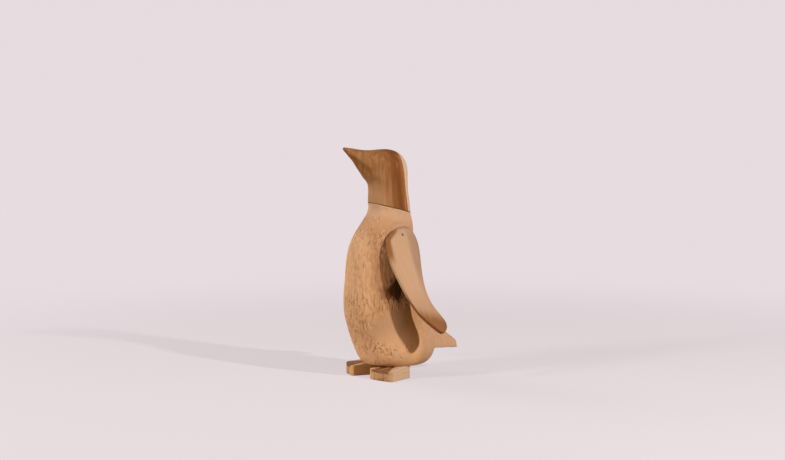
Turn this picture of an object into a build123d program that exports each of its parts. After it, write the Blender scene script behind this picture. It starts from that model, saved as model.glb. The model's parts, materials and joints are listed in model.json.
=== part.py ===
from build123d import *
import math
import os

# A carved wooden penguin that stands on two separate feet, in millimetres.
# +Z is up, the bird faces -Y and its left side is +X. The origin is on the
# floor, at the middle of the figure's plan box.
# The pale body carries a darker head on a hidden dowel, two flippers that
# swing on nails, and two feet that are pegged and screwed on from below.

# Whole figure
BEAK_REACH = 64.0
TAIL_REACH = 99.5
AXIS_Y = (BEAK_REACH - TAIL_REACH) / 2
SIDES = {"left": 1, "right": -1}

# Clearances
GLUE_GAP = 0.1
RUNNING_GAP = 0.05
SHOULDER_GAP = 0.3

# Foot, a block that widens from its heel to three toes, which slope down
FOOT_HEIGHT = 16.5
FOOT_TOE_HEIGHT = 12.5
FOOT_SLOPE_START_REACH = 17.0
FOOT_HEEL_WIDTH = 25.0
FOOT_HEEL_RADIUS = 4.0
FOOT_TOE_REACH = 45.5
FOOT_SIDE_TOE_REACH = 46.0
FOOT_TOE_WIDTH = 11.0
FOOT_TOE_BULGE = 1.0
FOOT_TOE_SPREAD = 20.5
FOOT_NOTCH_REACH = 44.0
FOOT_TURN_OUT = 17.0
FOOT_SPACING = 44.0
LEFT_HEEL_BACK = 11.6
RIGHT_HEEL_BACK = 2.0
GROOVE_DEPTH = 5.0
GROOVE_HALF_ANGLE = 52.0
GROOVE_START_REACH = 10.0

# Body, from its flat base up to the neck seam
BODY_HEIGHT = 200.1
BODY_DEPTH = 108.0
BODY_WIDTH = 106.0
BODY_LEAN = 9.0
NECK_DEPTH = 57.0
NECK_WIDTH = 55.0
NECK_BACK = 2.2
NECK_TILT = 14.7
# The shoulder's row in the table below, which the flippers follow
SHOULDER_SHARES = (0.825, 0.395, -0.65, 0.1)
# Each row: height, swell from neck size to body size, lean back, share of the neck's tilt
BODY_STATION_SHARES = (
    (0.00, 0.42, 1.05, 0.0),
    (0.03, 0.69, 1.12, 0.0),
    (0.10, 0.93, 1.08, 0.0),
    (0.27, 1.00, 0.00, 0.0),
    (0.42, 0.93, -0.62, 0.0),
    (0.57, 0.77, -0.83, 0.0),
    (0.72, 0.595, -1.00, 0.0),
    SHOULDER_SHARES,
    (0.91, 0.138, 0.08, 0.5),
)

# Tail, a wedge carved in one with the body
TAIL_ROOT_REACH = 30.0
TAIL_ROOT_RISE = 20.0
TAIL_ROOT_HEIGHT = 56.0
TAIL_ROOT_WIDTH = 60.0
TAIL_TIP_RISE = 13.8
TAIL_TIP_HEIGHT = 9.5
TAIL_TIP_WIDTH = 14.0

# Head
HEAD_HEIGHT = 79.2
HEAD_WIDTH = 50.0
# Each row: throat forward and up, crown forward and up, width taken from neck and from head.
# A forward share of 1 is the front of the neck, and 2 is the tip of the beak.
HEAD_STATION_SHARES = (
    (0.965, 0.144, -0.95, -0.030, 0.98, 0.0),
    (0.965, 0.212, -0.90, 0.137, 0.5, 0.49),
    (0.985, 0.360, -0.83, 0.429, 0.0, 1.00),
    (1.13, 0.466, -0.80, 0.691, 0.0, 0.98),
    (1.28, 0.551, -0.38, 0.900, 0.0, 0.92),
    (1.42, 0.637, 0.33, 0.957, 0.0, 0.78),
    (1.57, 0.732, 0.98, 0.945, 0.0, 0.56),
    (1.73, 0.828, 1.36, 0.957, 0.0, 0.36),
    (1.89, 0.908, 1.72, 0.985, 0.0, 0.20),
    (2.00, 0.960, 1.98, 1.000, 0.0, 0.07),
)

# Neck dowel
DOWEL_DIAMETER = 10.0
DOWEL_LENGTH = 40.0

# Flipper, hung by its nail on a flat planed into the shoulder
SHOULDER_FLAT_DEPTH = 0.6
SHOULDER_SLOPE = 26.0
SHOULDER_SEAT_RISE = 20.0
NAIL_BACK = 2.75
FLIPPER_LENGTH = 132.0
FLIPPER_WIDTH = 46.0
FLIPPER_THICKNESS = 10.5
FLIPPER_CROWN_RADIUS = 70.0
FLIPPER_EDGE_RADIUS = 1.5
# Each row: down from the nail as a share of the length, back as a share of the width
FLIPPER_OUTLINE_SHARES = (
    (-0.088, 0.12),
    (-0.050, -0.245),
    (0.064, -0.475),
    (0.232, -0.495),
    (0.440, -0.36),
    (0.632, -0.185),
    (0.816, 0.08),
    (0.952, 0.435),
    (0.996, 0.645),
    (0.952, 0.775),
    (0.776, 0.58),
    (0.520, 0.35),
    (0.256, 0.41),
    (0.040, 0.42),
    (-0.048, 0.31),
)
# The line of greatest thickness. Each row: down, back, share of the thickness
FLIPPER_RIDGE_SHARES = (
    (-0.15, 0.21, 1.00),
    (0.37, 0.14, 0.95),
    (0.61, 0.265, 0.85),
    (1.10, 0.75, 0.60),
)

# Flipper nail
NAIL_DIAMETER = 1.8
NAIL_HEAD_DIAMETER = 3.0
NAIL_HEAD_HEIGHT = 1.0
NAIL_HEAD_SINK = 0.6
NAIL_GRIP = 20.0
NAIL_POINT_LENGTH = 3.0

# Foot screw and peg, placed along the foot from the back of its heel
SCREW_PLACE = 13.0
SCREW_DIAMETER = 3.5
SCREW_HEAD_DIAMETER = 7.0
SCREW_HEAD_HEIGHT = 2.4
SCREW_LENGTH = 35.0
SCREW_POINT_LENGTH = 5.0
SCREW_SLOT_WIDTH = 1.0
SCREW_SLOT_DEPTH = 1.2
SCREW_SINK = 1.5
PEG_PLACE = 6.0
PEG_DIAMETER = 6.0
PEG_LENGTH = 16.0

ON_BASE = (Align.CENTER, Align.CENTER, Align.MIN)


def tilted_plane(y, z, tilt):
    """A plane across the figure that leans back by a tilt in degrees."""
    lean = math.radians(tilt)
    return Plane((0, y, z), x_dir=(1, 0, 0), z_dir=(0, math.sin(lean), math.cos(lean)))


def neck_plane():
    """The plane of the seam between body and head."""
    return tilted_plane(AXIS_Y + NECK_BACK, FOOT_HEIGHT + BODY_HEIGHT, NECK_TILT)


def neck_section():
    """The oval on which body and head meet."""
    return neck_plane() * Ellipse(NECK_WIDTH / 2, NECK_DEPTH / 2)


def swelled(neck_size, body_size, swell):
    """Half of a size that lies between the neck's and the body's."""
    return (neck_size + swell * (body_size - neck_size)) / 2


def body_section(height, swell, lean, tilt):
    """One oval cross section of the body."""
    y = AXIS_Y + lean * BODY_LEAN
    z = FOOT_HEIGHT + height * BODY_HEIGHT
    half_width = swelled(NECK_WIDTH, BODY_WIDTH, swell)
    half_depth = swelled(NECK_DEPTH, BODY_DEPTH, swell)
    return tilted_plane(y, z, tilt * NECK_TILT) * Ellipse(half_width, half_depth)


def tail_section(reach, rise, width, height):
    """An arch on a flat underside, across the tail."""
    base = (0, AXIS_Y + reach, FOOT_HEIGHT + rise)
    arch = EllipticalCenterArc((0, 0), width / 2, height, start_angle=0, arc_size=180)
    across = Plane(base, x_dir=(1, 0, 0), z_dir=(0, -1, 0))
    return across * make_face(arch + Line(arch @ 1, arch @ 0))


def shoulder_plane(side):
    """The plane of a flipper's inner face: X runs back, Z points out of the body."""
    height, swell, lean, _ = SHOULDER_SHARES
    slope = math.radians(SHOULDER_SLOPE)
    reach = swelled(NECK_WIDTH, BODY_WIDTH, swell) - SHOULDER_FLAT_DEPTH + SHOULDER_GAP
    y = AXIS_Y + lean * BODY_LEAN + NAIL_BACK
    z = FOOT_HEIGHT + height * BODY_HEIGHT
    outward = (side * math.cos(slope), 0, math.sin(slope))
    return Plane((side * reach, y, z), x_dir=(0, 1, 0), z_dir=outward)


def foot_plane(name):
    """A foot's place on the floor: origin at the back of the heel, Y towards the toes."""
    side = SIDES[name]
    heel_back = {"left": LEFT_HEEL_BACK, "right": RIGHT_HEEL_BACK}[name]
    turn = math.radians(FOOT_TURN_OUT)
    across = (-math.cos(turn), -side * math.sin(turn), 0)
    return Plane((side * FOOT_SPACING / 2, AXIS_Y + heel_back, 0), x_dir=across, z_dir=(0, 0, 1))


def rod(diameter, bottom, top):
    """An upright round rod between two heights."""
    return Pos(0, 0, bottom) * Cylinder(diameter / 2, top - bottom, align=ON_BASE)


def frustum(bottom_diameter, top_diameter, bottom, top):
    """An upright cone, or a part of one, between two heights."""
    cone = Cone(bottom_diameter / 2, top_diameter / 2, top - bottom, align=ON_BASE)
    return Pos(0, 0, bottom) * cone


def dowel_bore():
    """The hole that runs into body and head from the neck seam."""
    return neck_plane() * Cylinder(DOWEL_DIAMETER / 2 + GLUE_GAP, DOWEL_LENGTH + 2 * GLUE_GAP)


def peg_bore():
    """The hole that runs into foot and body from the foot's top."""
    half = PEG_LENGTH / 2 + GLUE_GAP
    bore = rod(PEG_DIAMETER + 2 * GLUE_GAP, FOOT_HEIGHT - half, FOOT_HEIGHT + half)
    return Pos(0, PEG_PLACE, 0) * bore


def screw_tip():
    """Height of the screw's point above the floor."""
    return SCREW_SINK + SCREW_LENGTH


def make_body():
    """The body and tail, with shoulder flats and the holes for what is fixed to it."""
    body = loft([body_section(*row) for row in BODY_STATION_SHARES] + [neck_section()])
    tail_root = tail_section(TAIL_ROOT_REACH, TAIL_ROOT_RISE, TAIL_ROOT_WIDTH, TAIL_ROOT_HEIGHT)
    tail_tip = tail_section(TAIL_REACH, TAIL_TIP_RISE, TAIL_TIP_WIDTH, TAIL_TIP_HEIGHT)
    body += loft([tail_root, tail_tip])
    planed_off = Box(2 * BODY_DEPTH, BODY_HEIGHT, BODY_WIDTH, align=ON_BASE)
    planed_middle = SHOULDER_SEAT_RISE - BODY_HEIGHT / 2
    for name, side in SIDES.items():
        shoulder = shoulder_plane(side)
        body -= shoulder.offset(-SHOULDER_GAP) * Pos(0, side * planed_middle, 0) * planed_off
        body -= shoulder * rod(NAIL_DIAMETER, -NAIL_GRIP, 0)
        foot = foot_plane(name)
        body -= foot * Pos(0, SCREW_PLACE, 0) * rod(SCREW_DIAMETER, 0, screw_tip())
        body -= foot * peg_bore()
    return body - dowel_bore()


def forward_y(share):
    """Y of a forward share: 1 is the front of the neck, and 2 the tip of the beak."""
    neck_front = NECK_DEPTH / 2 - NECK_BACK
    if share <= 1:
        return AXIS_Y + NECK_BACK - share * NECK_DEPTH / 2
    return AXIS_Y - neck_front - (share - 1) * (BEAK_REACH - neck_front)


def head_section(throat, throat_up, crown, crown_up, from_neck, from_head):
    """One oval cross section of the head, from its throat line to its crown line."""
    seam = FOOT_HEIGHT + BODY_HEIGHT
    low = Vector(0, forward_y(throat), seam + throat_up * HEAD_HEIGHT)
    high = Vector(0, forward_y(crown), seam + crown_up * HEAD_HEIGHT)
    across = Vector(1, 0, 0)
    plane = Plane((low + high) / 2, x_dir=across, z_dir=across.cross(high - low))
    half_width = (from_neck * NECK_WIDTH + from_head * HEAD_WIDTH) / 2
    return plane * Ellipse(half_width, (high - low).length / 2)


def make_head():
    """The head and beak, bored for the dowel."""
    head = loft([neck_section()] + [head_section(*row) for row in HEAD_STATION_SHARES])
    return head - dowel_bore()


def make_neck_dowel():
    """The dowel that joins head and body."""
    return neck_plane() * Cylinder(DOWEL_DIAMETER / 2, DOWEL_LENGTH)


def nail_head_underside():
    """Height of the underside of a nail's head above the flipper's inner face."""
    return FLIPPER_THICKNESS - NAIL_HEAD_SINK - NAIL_HEAD_HEIGHT


def ridge_section(side, down, back, thickness):
    """A round-topped slice across a flipper, wider than the flipper itself."""
    along = Plane((0, -side * down * FLIPPER_LENGTH, 0), x_dir=(1, 0, 0), z_dir=(0, -1, 0))
    ridge = back * FLIPPER_WIDTH
    top = thickness * FLIPPER_THICKNESS
    drop = FLIPPER_CROWN_RADIUS - math.sqrt(FLIPPER_CROWN_RADIUS**2 - FLIPPER_WIDTH**2)
    front_end = (ridge - FLIPPER_WIDTH, top - drop)
    back_end = (ridge + FLIPPER_WIDTH, top - drop)
    crown = ThreePointArc(front_end, (ridge, top), back_end)
    return along * make_face(crown + Line(back_end, front_end))


def make_flipper(side):
    """A flipper, flat inside and crowned outside, bored for its nail."""
    outline = [
        (back * FLIPPER_WIDTH, -side * down * FLIPPER_LENGTH)
        for down, back in FLIPPER_OUTLINE_SHARES
    ]
    flipper = extrude(make_face(Spline(*outline, periodic=True)), 2 * FLIPPER_THICKNESS)
    flipper &= loft([ridge_section(side, *row) for row in FLIPPER_RIDGE_SHARES])
    flipper = fillet(flipper.edges(), FLIPPER_EDGE_RADIUS)
    flipper -= rod(NAIL_DIAMETER + 2 * RUNNING_GAP, 0, FLIPPER_THICKNESS)
    sink = rod(
        NAIL_HEAD_DIAMETER + 2 * RUNNING_GAP,
        nail_head_underside() - RUNNING_GAP,
        2 * FLIPPER_THICKNESS,
    )
    return shoulder_plane(side) * (flipper - sink)


def make_flipper_nail(side):
    """A flipper's nail, driven into the body, its head just under the surface."""
    underside = nail_head_underside()
    point_end = NAIL_POINT_LENGTH - NAIL_GRIP
    nail = rod(NAIL_HEAD_DIAMETER, underside, underside + NAIL_HEAD_HEIGHT)
    nail += rod(NAIL_DIAMETER, point_end, underside)
    nail += frustum(0, NAIL_DIAMETER, -NAIL_GRIP, point_end)
    return shoulder_plane(side) * nail


def toe_outline(turn, reach):
    """The two corners and the rounded end of one toe, turned from the foot's middle line."""
    half_width = FOOT_TOE_WIDTH / 2
    corner_reach = reach - FOOT_TOE_BULGE
    points = ((half_width, corner_reach), (0, reach), (-half_width, corner_reach))
    return [Vector(x, y).rotate(Axis.Z, turn) for x, y in points]


def foot_outline():
    """A foot's plan: a blunt heel, straight sides and three toes with notches between."""
    heel_right = (FOOT_HEEL_WIDTH / 2, 0)
    heel_left = (-FOOT_HEEL_WIDTH / 2, 0)
    lines = [Line(heel_left, heel_right)]
    last = heel_right
    toes = (
        (-FOOT_TOE_SPREAD, FOOT_SIDE_TOE_REACH),
        (0, FOOT_TOE_REACH),
        (FOOT_TOE_SPREAD, FOOT_SIDE_TOE_REACH),
    )
    for turn, reach in toes:
        start, end_middle, end = toe_outline(turn, reach)
        lines.append(Line(last, start))
        lines.append(ThreePointArc(start, end_middle, end))
        last = end
        if turn < FOOT_TOE_SPREAD:
            notch = Vector(0, FOOT_NOTCH_REACH).rotate(Axis.Z, turn + FOOT_TOE_SPREAD / 2)
            lines.append(Line(end, notch))
            last = notch
    lines.append(Line(last, heel_left))
    plan = make_face(lines)
    return fillet(plan.vertices().group_by(Axis.Y)[0], FOOT_HEEL_RADIUS)


def toe_slope():
    """The wedge that is cut away above the toes, wider than the foot."""
    run = 2 * (FOOT_TOE_REACH - FOOT_SLOPE_START_REACH)
    drop = 2 * (FOOT_HEIGHT - FOOT_TOE_HEIGHT)
    profile = Polygon((0, 0), (run, -drop), (run, 0), align=None)
    start = Plane.YZ * Pos(FOOT_SLOPE_START_REACH, FOOT_HEIGHT)
    return extrude(start * profile, FOOT_TOE_REACH, both=True)


def toe_groove(turn):
    """A cut that deepens from the instep to the notch between two toes."""
    run = FOOT_NOTCH_REACH - GROOVE_START_REACH
    steepness = math.degrees(math.atan2(GROOVE_DEPTH, run))
    half_width = FOOT_HEIGHT * math.tan(math.radians(GROOVE_HALF_ANGLE))
    profile = Polygon((0, 0), (half_width, FOOT_HEIGHT), (-half_width, FOOT_HEIGHT), align=None)
    cut = extrude(Plane.XZ.offset(-GROOVE_START_REACH) * profile, -2 * FOOT_TOE_REACH)
    start = Pos(0, GROOVE_START_REACH, FOOT_HEIGHT) * Rot(X=-steepness)
    return Rot(Z=turn) * start * Pos(0, -GROOVE_START_REACH, 0) * cut


def make_foot(name):
    """A foot with grooves between its toes, bored for its peg and its sunk screw."""
    foot = extrude(foot_outline(), FOOT_HEIGHT) - toe_slope()
    for turn in (-FOOT_TOE_SPREAD / 2, FOOT_TOE_SPREAD / 2):
        foot -= toe_groove(turn)
    head_top = SCREW_SINK + SCREW_HEAD_HEIGHT
    bore = rod(SCREW_HEAD_DIAMETER, 0, SCREW_SINK)
    bore += frustum(SCREW_HEAD_DIAMETER, SCREW_DIAMETER, SCREW_SINK, head_top)
    bore += rod(SCREW_DIAMETER, head_top, FOOT_HEIGHT)
    foot -= Pos(0, SCREW_PLACE, 0) * bore
    return foot_plane(name) * (foot - peg_bore())


def make_foot_screw(name):
    """A slotted countersunk screw, driven up through a foot into the body."""
    head_top = SCREW_SINK + SCREW_HEAD_HEIGHT
    point_start = screw_tip() - SCREW_POINT_LENGTH
    screw = frustum(SCREW_HEAD_DIAMETER, SCREW_DIAMETER, SCREW_SINK, head_top)
    screw += rod(SCREW_DIAMETER, head_top, point_start)
    screw += frustum(SCREW_DIAMETER, 0, point_start, screw_tip())
    slot = Box(2 * SCREW_HEAD_DIAMETER, SCREW_SLOT_WIDTH, SCREW_SLOT_DEPTH, align=ON_BASE)
    screw -= Pos(0, 0, SCREW_SINK) * slot
    return foot_plane(name) * Pos(0, SCREW_PLACE, 0) * screw


def make_foot_peg(name):
    """The peg that keeps a foot from turning round its screw."""
    half = PEG_LENGTH / 2
    peg = rod(PEG_DIAMETER, FOOT_HEIGHT - half, FOOT_HEIGHT + half)
    return foot_plane(name) * Pos(0, PEG_PLACE, 0) * peg


def make_parts():
    """Every piece by the name of its node."""
    parts = {
        "body": make_body(),
        "head": make_head(),
        "neck_dowel": make_neck_dowel(),
    }
    for name, side in SIDES.items():
        parts[f"{name}_flipper"] = make_flipper(side)
        parts[f"{name}_flipper_nail"] = make_flipper_nail(side)
        parts[f"{name}_foot"] = make_foot(name)
        parts[f"{name}_foot_screw"] = make_foot_screw(name)
        parts[f"{name}_foot_peg"] = make_foot_peg(name)
    return parts


os.makedirs("parts", exist_ok=True)
for node, piece in make_parts().items():
    export_step(piece, f"parts/{node}.step")
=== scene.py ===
"""Looks of a carved wooden penguin: its woods, its tool marks and a plain studio, in metres."""

import json
import logging
import math
from collections.abc import Sequence
from dataclasses import dataclass
from enum import Enum
from typing import Any, Union

import bmesh
import bpy
import numpy as np
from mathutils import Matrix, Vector

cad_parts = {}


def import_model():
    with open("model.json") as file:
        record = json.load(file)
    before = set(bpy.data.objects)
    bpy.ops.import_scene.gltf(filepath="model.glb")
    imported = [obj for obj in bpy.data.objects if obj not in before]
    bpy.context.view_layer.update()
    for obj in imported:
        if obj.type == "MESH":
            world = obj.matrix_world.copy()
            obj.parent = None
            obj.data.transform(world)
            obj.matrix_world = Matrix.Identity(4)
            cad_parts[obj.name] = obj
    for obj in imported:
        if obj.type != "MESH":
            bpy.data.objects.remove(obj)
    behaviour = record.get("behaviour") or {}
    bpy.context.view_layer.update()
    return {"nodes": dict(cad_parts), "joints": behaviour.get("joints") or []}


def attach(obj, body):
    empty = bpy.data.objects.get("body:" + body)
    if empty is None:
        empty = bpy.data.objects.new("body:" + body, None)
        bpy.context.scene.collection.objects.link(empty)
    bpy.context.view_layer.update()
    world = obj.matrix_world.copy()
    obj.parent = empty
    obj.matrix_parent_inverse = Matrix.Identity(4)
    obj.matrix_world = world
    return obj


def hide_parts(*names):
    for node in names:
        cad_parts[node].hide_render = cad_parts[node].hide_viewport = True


LOG = logging.getLogger("penguin")
MM = 0.001
QUARTER_TURN = 90.0
CLOUD_MIDDLE = 0.5
COARSE = 1.0
MEDIUM = 2.0
FINE = 3.0

Tone = tuple[float, float, float]
Point = tuple[float, float, float]
# Where an eased value is 0, and where it is 1.
Span = tuple[float, float]
# The middle of a band, and how far it reaches to both sides.
Band = tuple[float, float]
Nodes = dict[str, bpy.types.Object]


def mm(*lengths: float) -> tuple[float, ...]:
    """Lengths that are given in millimetres."""
    return tuple(length * MM for length in lengths)


def sine_cosine(degrees: float) -> tuple[float, float]:
    """Sine and cosine of an angle."""
    return math.sin(math.radians(degrees)), math.cos(math.radians(degrees))


class Side(Enum):
    """The bird's left or right, and the sign of X there."""

    LEFT = 1
    RIGHT = -1

    @property
    def word(self) -> str:
        """The side's word in the names of nodes."""
        return self.name.lower()


class Value:
    """A node's output that can stand in a sum as a number does."""

    def __init__(self, graph: "Graph", socket: bpy.types.NodeSocket) -> None:
        """Wraps one socket of one graph."""
        self.graph = graph
        self.socket = socket

    def __add__(self, other: "Number") -> "Value":
        """Sum of two values."""
        return self.graph.math("ADD", self, other)

    def __sub__(self, other: "Number") -> "Value":
        """Difference of two values."""
        return self.graph.math("SUBTRACT", self, other)

    def __rsub__(self, other: "Number") -> "Value":
        """Difference from a plain number."""
        return self.graph.math("SUBTRACT", other, self)

    def __mul__(self, other: "Number") -> "Value":
        """Product of two values."""
        return self.graph.math("MULTIPLY", self, other)

    def __truediv__(self, other: "Number") -> "Value":
        """Quotient of two values."""
        return self.graph.math("DIVIDE", self, other)

    def __rtruediv__(self, other: "Number") -> "Value":
        """Quotient of a plain number and a value."""
        return self.graph.math("DIVIDE", other, self)

    __radd__ = __add__
    __rmul__ = __mul__

    def __abs__(self) -> "Value":
        """The value without its sign."""
        return self.graph.math("ABSOLUTE", self)

    def larger(self, other: "Number") -> "Value":
        """The larger of two values."""
        return self.graph.math("MAXIMUM", self, other)

    def ease(self, start: float, end: float) -> "Value":
        """Rises smoothly from 0 at start to 1 at end, or falls where end is the smaller."""
        inputs = {"Value": self, "From Min": start, "From Max": end}
        return self.graph.node("ShaderNodeMapRange", {"interpolation_type": "SMOOTHSTEP"}, inputs)

    def near(self, middle: float, reach: float) -> "Value":
        """Rises to 1 at a middle and is 0 further away than a reach."""
        return self.ease(middle - reach, middle) * self.ease(middle + reach, middle)

    def lifted(self, least: float) -> "Value":
        """A share that runs from a least value, in place of 0, up to 1."""
        return least + self * (1.0 - least)

    def swing(self, width: float = 1.0) -> "Value":
        """A cloud's number as an offset to both sides of 0."""
        return (self - CLOUD_MIDDLE) * width

    def part(self, axis: str) -> "Value":
        """The X, Y or Z of a vector."""
        return self.graph.node("ShaderNodeSeparateXYZ", {}, {"Vector": self}, axis)

    def away(self, start: Point) -> "Value":
        """The way from a point to this place."""
        return self.graph.vector("SUBTRACT", self, start)

    def dot(self, direction: Point) -> "Value":
        """How far this way goes along a direction."""
        return self.graph.vector("DOT_PRODUCT", self, direction, output="Value")

    def far(self, middle: Point, radii: Point) -> "Value":
        """Distance of this place from the middle of an ellipsoid, where 1 is its skin."""
        scaled = self.graph.vector("DIVIDE", self.away(middle), radii)
        return self.graph.vector("LENGTH", scaled, output="Value")

    def cloud(self, size: Point, detail: float = MEDIUM, output: int = 0) -> "Value":
        """Soft random patches of a size, as a number around a half or, as output 1, a colour."""
        inputs = {"Vector": self.graph.vector("DIVIDE", self, size), "Scale": 1.0, "Detail": detail}
        return self.graph.node("ShaderNodeTexNoise", {"noise_dimensions": "3D"}, inputs, output)

    def paint(self, under: "Colour", over: "Colour") -> "Value":
        """Mixes two colours, with this value as the share of the second.

        Args:
            under: The colour where this value is 0.
            over: The colour where this value is 1.

        Returns:
            The mixed colour.
        """
        settings = {"data_type": "RGBA", "clamp_factor": True}
        first, second, result = 6, 7, 2
        inputs = {0: self, first: self.graph.solid(under), second: self.graph.solid(over)}
        return self.graph.node("ShaderNodeMix", settings, inputs, result)


Number = Union[Value, float]
Colour = Union[Value, Tone]


class Graph:
    """A tree of nodes, of a material or of a carving."""

    def __init__(self, tree: bpy.types.NodeTree) -> None:
        """Starts on an empty tree."""
        self.tree = tree
        tree.nodes.clear()

    def node(
        self, kind: str, settings: dict[str, Any], inputs: dict[Any, Any], output: Any = 0
    ) -> Value:
        """Adds one node.

        Args:
            kind: Type of the node.
            settings: Attributes of the node, or the stops of a ramp, which are set first.
            inputs: A value or a link for each input, by its name or number.
            output: Name or number of the output that is wanted.

        Returns:
            The output.
        """
        made = self.tree.nodes.new(kind)
        for name, setting in settings.items():
            if name == "stops":
                self._set_stops(made.color_ramp, setting)
            else:
                setattr(made, name, setting)
        for name, value in inputs.items():
            if isinstance(value, Value):
                self.tree.links.new(value.socket, made.inputs[name])
            else:
                made.inputs[name].default_value = value
        outputs = made.outputs
        return Value(self, outputs[output] if len(outputs) else made.inputs[0])

    @staticmethod
    def _set_stops(ramp: bpy.types.ColorRamp, stops: Sequence[tuple[float, Tone]]) -> None:
        """Gives a ramp its places and colours.

        Args:
            ramp: The ramp.
            stops: Its places, each with a colour.
        """
        while len(ramp.elements) < len(stops):
            ramp.elements.new(1.0)
        for element, (place, tone) in zip(ramp.elements, stops):
            element.position = place
            element.color = (*tone, 1.0)

    @staticmethod
    def solid(colour: Colour) -> Any:
        """A colour as a socket takes it."""
        return colour if isinstance(colour, Value) else (*colour, 1.0)

    def math(self, operation: str, *values: Number) -> Value:
        """One sum on values."""
        return self.node("ShaderNodeMath", {"operation": operation}, dict(enumerate(values)))

    def vector(self, operation: str, *values: Any, output: Any = 0) -> Value:
        """One sum on vectors."""
        settings = {"operation": operation}
        return self.node("ShaderNodeVectorMath", settings, dict(enumerate(values)), output)

    def place(self) -> Value:
        """The place of the surface in the part's own frame.

        Returns:
            The place, as a vector.
        """
        if self.tree.bl_idname == "GeometryNodeTree":
            return self.node("GeometryNodeInputPosition", {}, {})
        return self.node("ShaderNodeTexCoord", {}, {}, "Object")

    def point(self, *parts: Value) -> Value:
        """A vector from its X, Y and Z."""
        return self.node("ShaderNodeCombineXYZ", {}, dict(zip("XYZ", parts)))


@dataclass(frozen=True)
class Stain:
    """A colour that lies over the wood, and the largest share that it takes."""

    tone: Tone
    share: float

    def over(self, colour: Colour, where: Value) -> Value:
        """The wood with the stain on it, where a mask is 1 and not where it is 0."""
        return (where * self.share).paint(colour, self.tone)


@dataclass(frozen=True)
class Fade(Stain):
    """A stain that comes in along a measure."""

    edge: Span

    def over(self, colour: Colour, where: Value) -> Value:
        """The wood with the stain on it, where a measure is past the edge."""
        return super().over(colour, where.ease(*self.edge))


@dataclass(frozen=True)
class Grain(Fade):
    """Random patches or streaks of a size, which stain the wood."""

    size: Point
    detail: float = MEDIUM

    def cloud(self, place: Value) -> Value:
        """The measure of this stain, around a half."""
        return place.cloud(self.size, self.detail)


@dataclass(frozen=True)
class Patch(Fade):
    """A stain in one round place."""

    middle: Point
    radii: Point

    def far(self, place: Value) -> Value:
        """The measure of this stain, from 0 in its middle."""
        return place.far(self.middle, self.radii)


def painted(colour: Colour, *layers: tuple[Stain, Value]) -> Value:
    """Lays stains over a colour, one after another.

    Args:
        colour: Colour of the bare wood.
        layers: Each stain, with the mask or measure that says where it lies.

    Returns:
        The colour of the surface.
    """
    for stain, where in layers:
        colour = stain.over(colour, where)
    return colour


@dataclass(frozen=True)
class Seat:
    """The flat place on the body that a flipper turns on."""

    pivot: Point
    outward: Point
    reach: float = 3.0 * MM
    radius: float = 38.0 * MM
    edge: Span = (0.6, 1.0)

    def near(self, place: Value) -> Value:
        """1 in the plane of the seat, and 0 further from it than the reach."""
        return place.away(self.pivot).dot(self.outward).near(0.0, self.reach)

    def apart(self, place: Value) -> Value:
        """0 round the seat, and 1 further from the pivot than the radius."""
        return place.far(self.pivot, (self.radius,) * 3).ease(*self.edge)


@dataclass(frozen=True)
class Marks:
    """Tool marks in a surface, each from 0 to 1."""

    cut: Value
    lip: Value
    lip_height: float = 0.35

    def joined(self, other: "Marks") -> "Marks":
        """Both sets of marks together."""
        return Marks(self.cut.larger(other.cut), self.lip.larger(other.lip))

    def height(self) -> Value:
        """The surface: low in a cut and a little raised at its lips."""
        return self.lip * self.lip_height - self.cut


@dataclass(frozen=True)
class Gouges:
    """Short marks of a gouge, scattered over a surface along the grain."""

    width: float
    length: float
    reach: float
    lean: float = 0.0
    offset: float = 0.0
    wander: float = 2.5 * MM
    wander_size: float = 22.0 * MM
    fade: Span = (0.0, 0.15)
    floor: float = 0.3
    lip_outside: float = 1.9
    lip_inside: float = 1.1

    def marks(self, place: Value, share: Value) -> Marks:
        """The marks that the carver made.

        Args:
            place: Where to look.
            share: Share of the places for a mark that have one.

        Returns:
            The marks.
        """
        graph = place.graph
        sway = place.cloud((self.wander_size,) * 3, output=1).away((CLOUD_MIDDLE,) * 3)
        swayed = graph.vector("MULTIPLY_ADD", sway, (self.wander,) * 3, place)
        out, back, up = (swayed.part(axis) for axis in "XYZ")
        across = (back - up * self.lean) / self.width
        cell = graph.point(out / self.width + self.offset, across, up / self.length)
        far = graph.node("ShaderNodeTexVoronoi", {"feature": "F1"}, {"Vector": cell, "Scale": 1.0})
        chance = Value(graph, far.socket.node.outputs["Color"]).part("X")
        chosen = (share - chance).ease(*self.fade)
        cut = far.ease(self.reach, self.reach * self.floor)
        lip = far.ease(self.reach * self.lip_outside, self.reach * self.lip_inside)
        return Marks(cut * chosen, (lip - cut) * chosen)


@dataclass(frozen=True)
class Zone:
    """A band round the body that has one kind of mark, more of them ahead than beside."""

    gouges: Gouges
    band: Band
    beside: float
    ahead: float

    def share(self, band: Value, ahead: Value) -> Value:
        """Share of the places for a mark that have one."""
        return band * (self.beside + ahead * self.ahead)


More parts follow.
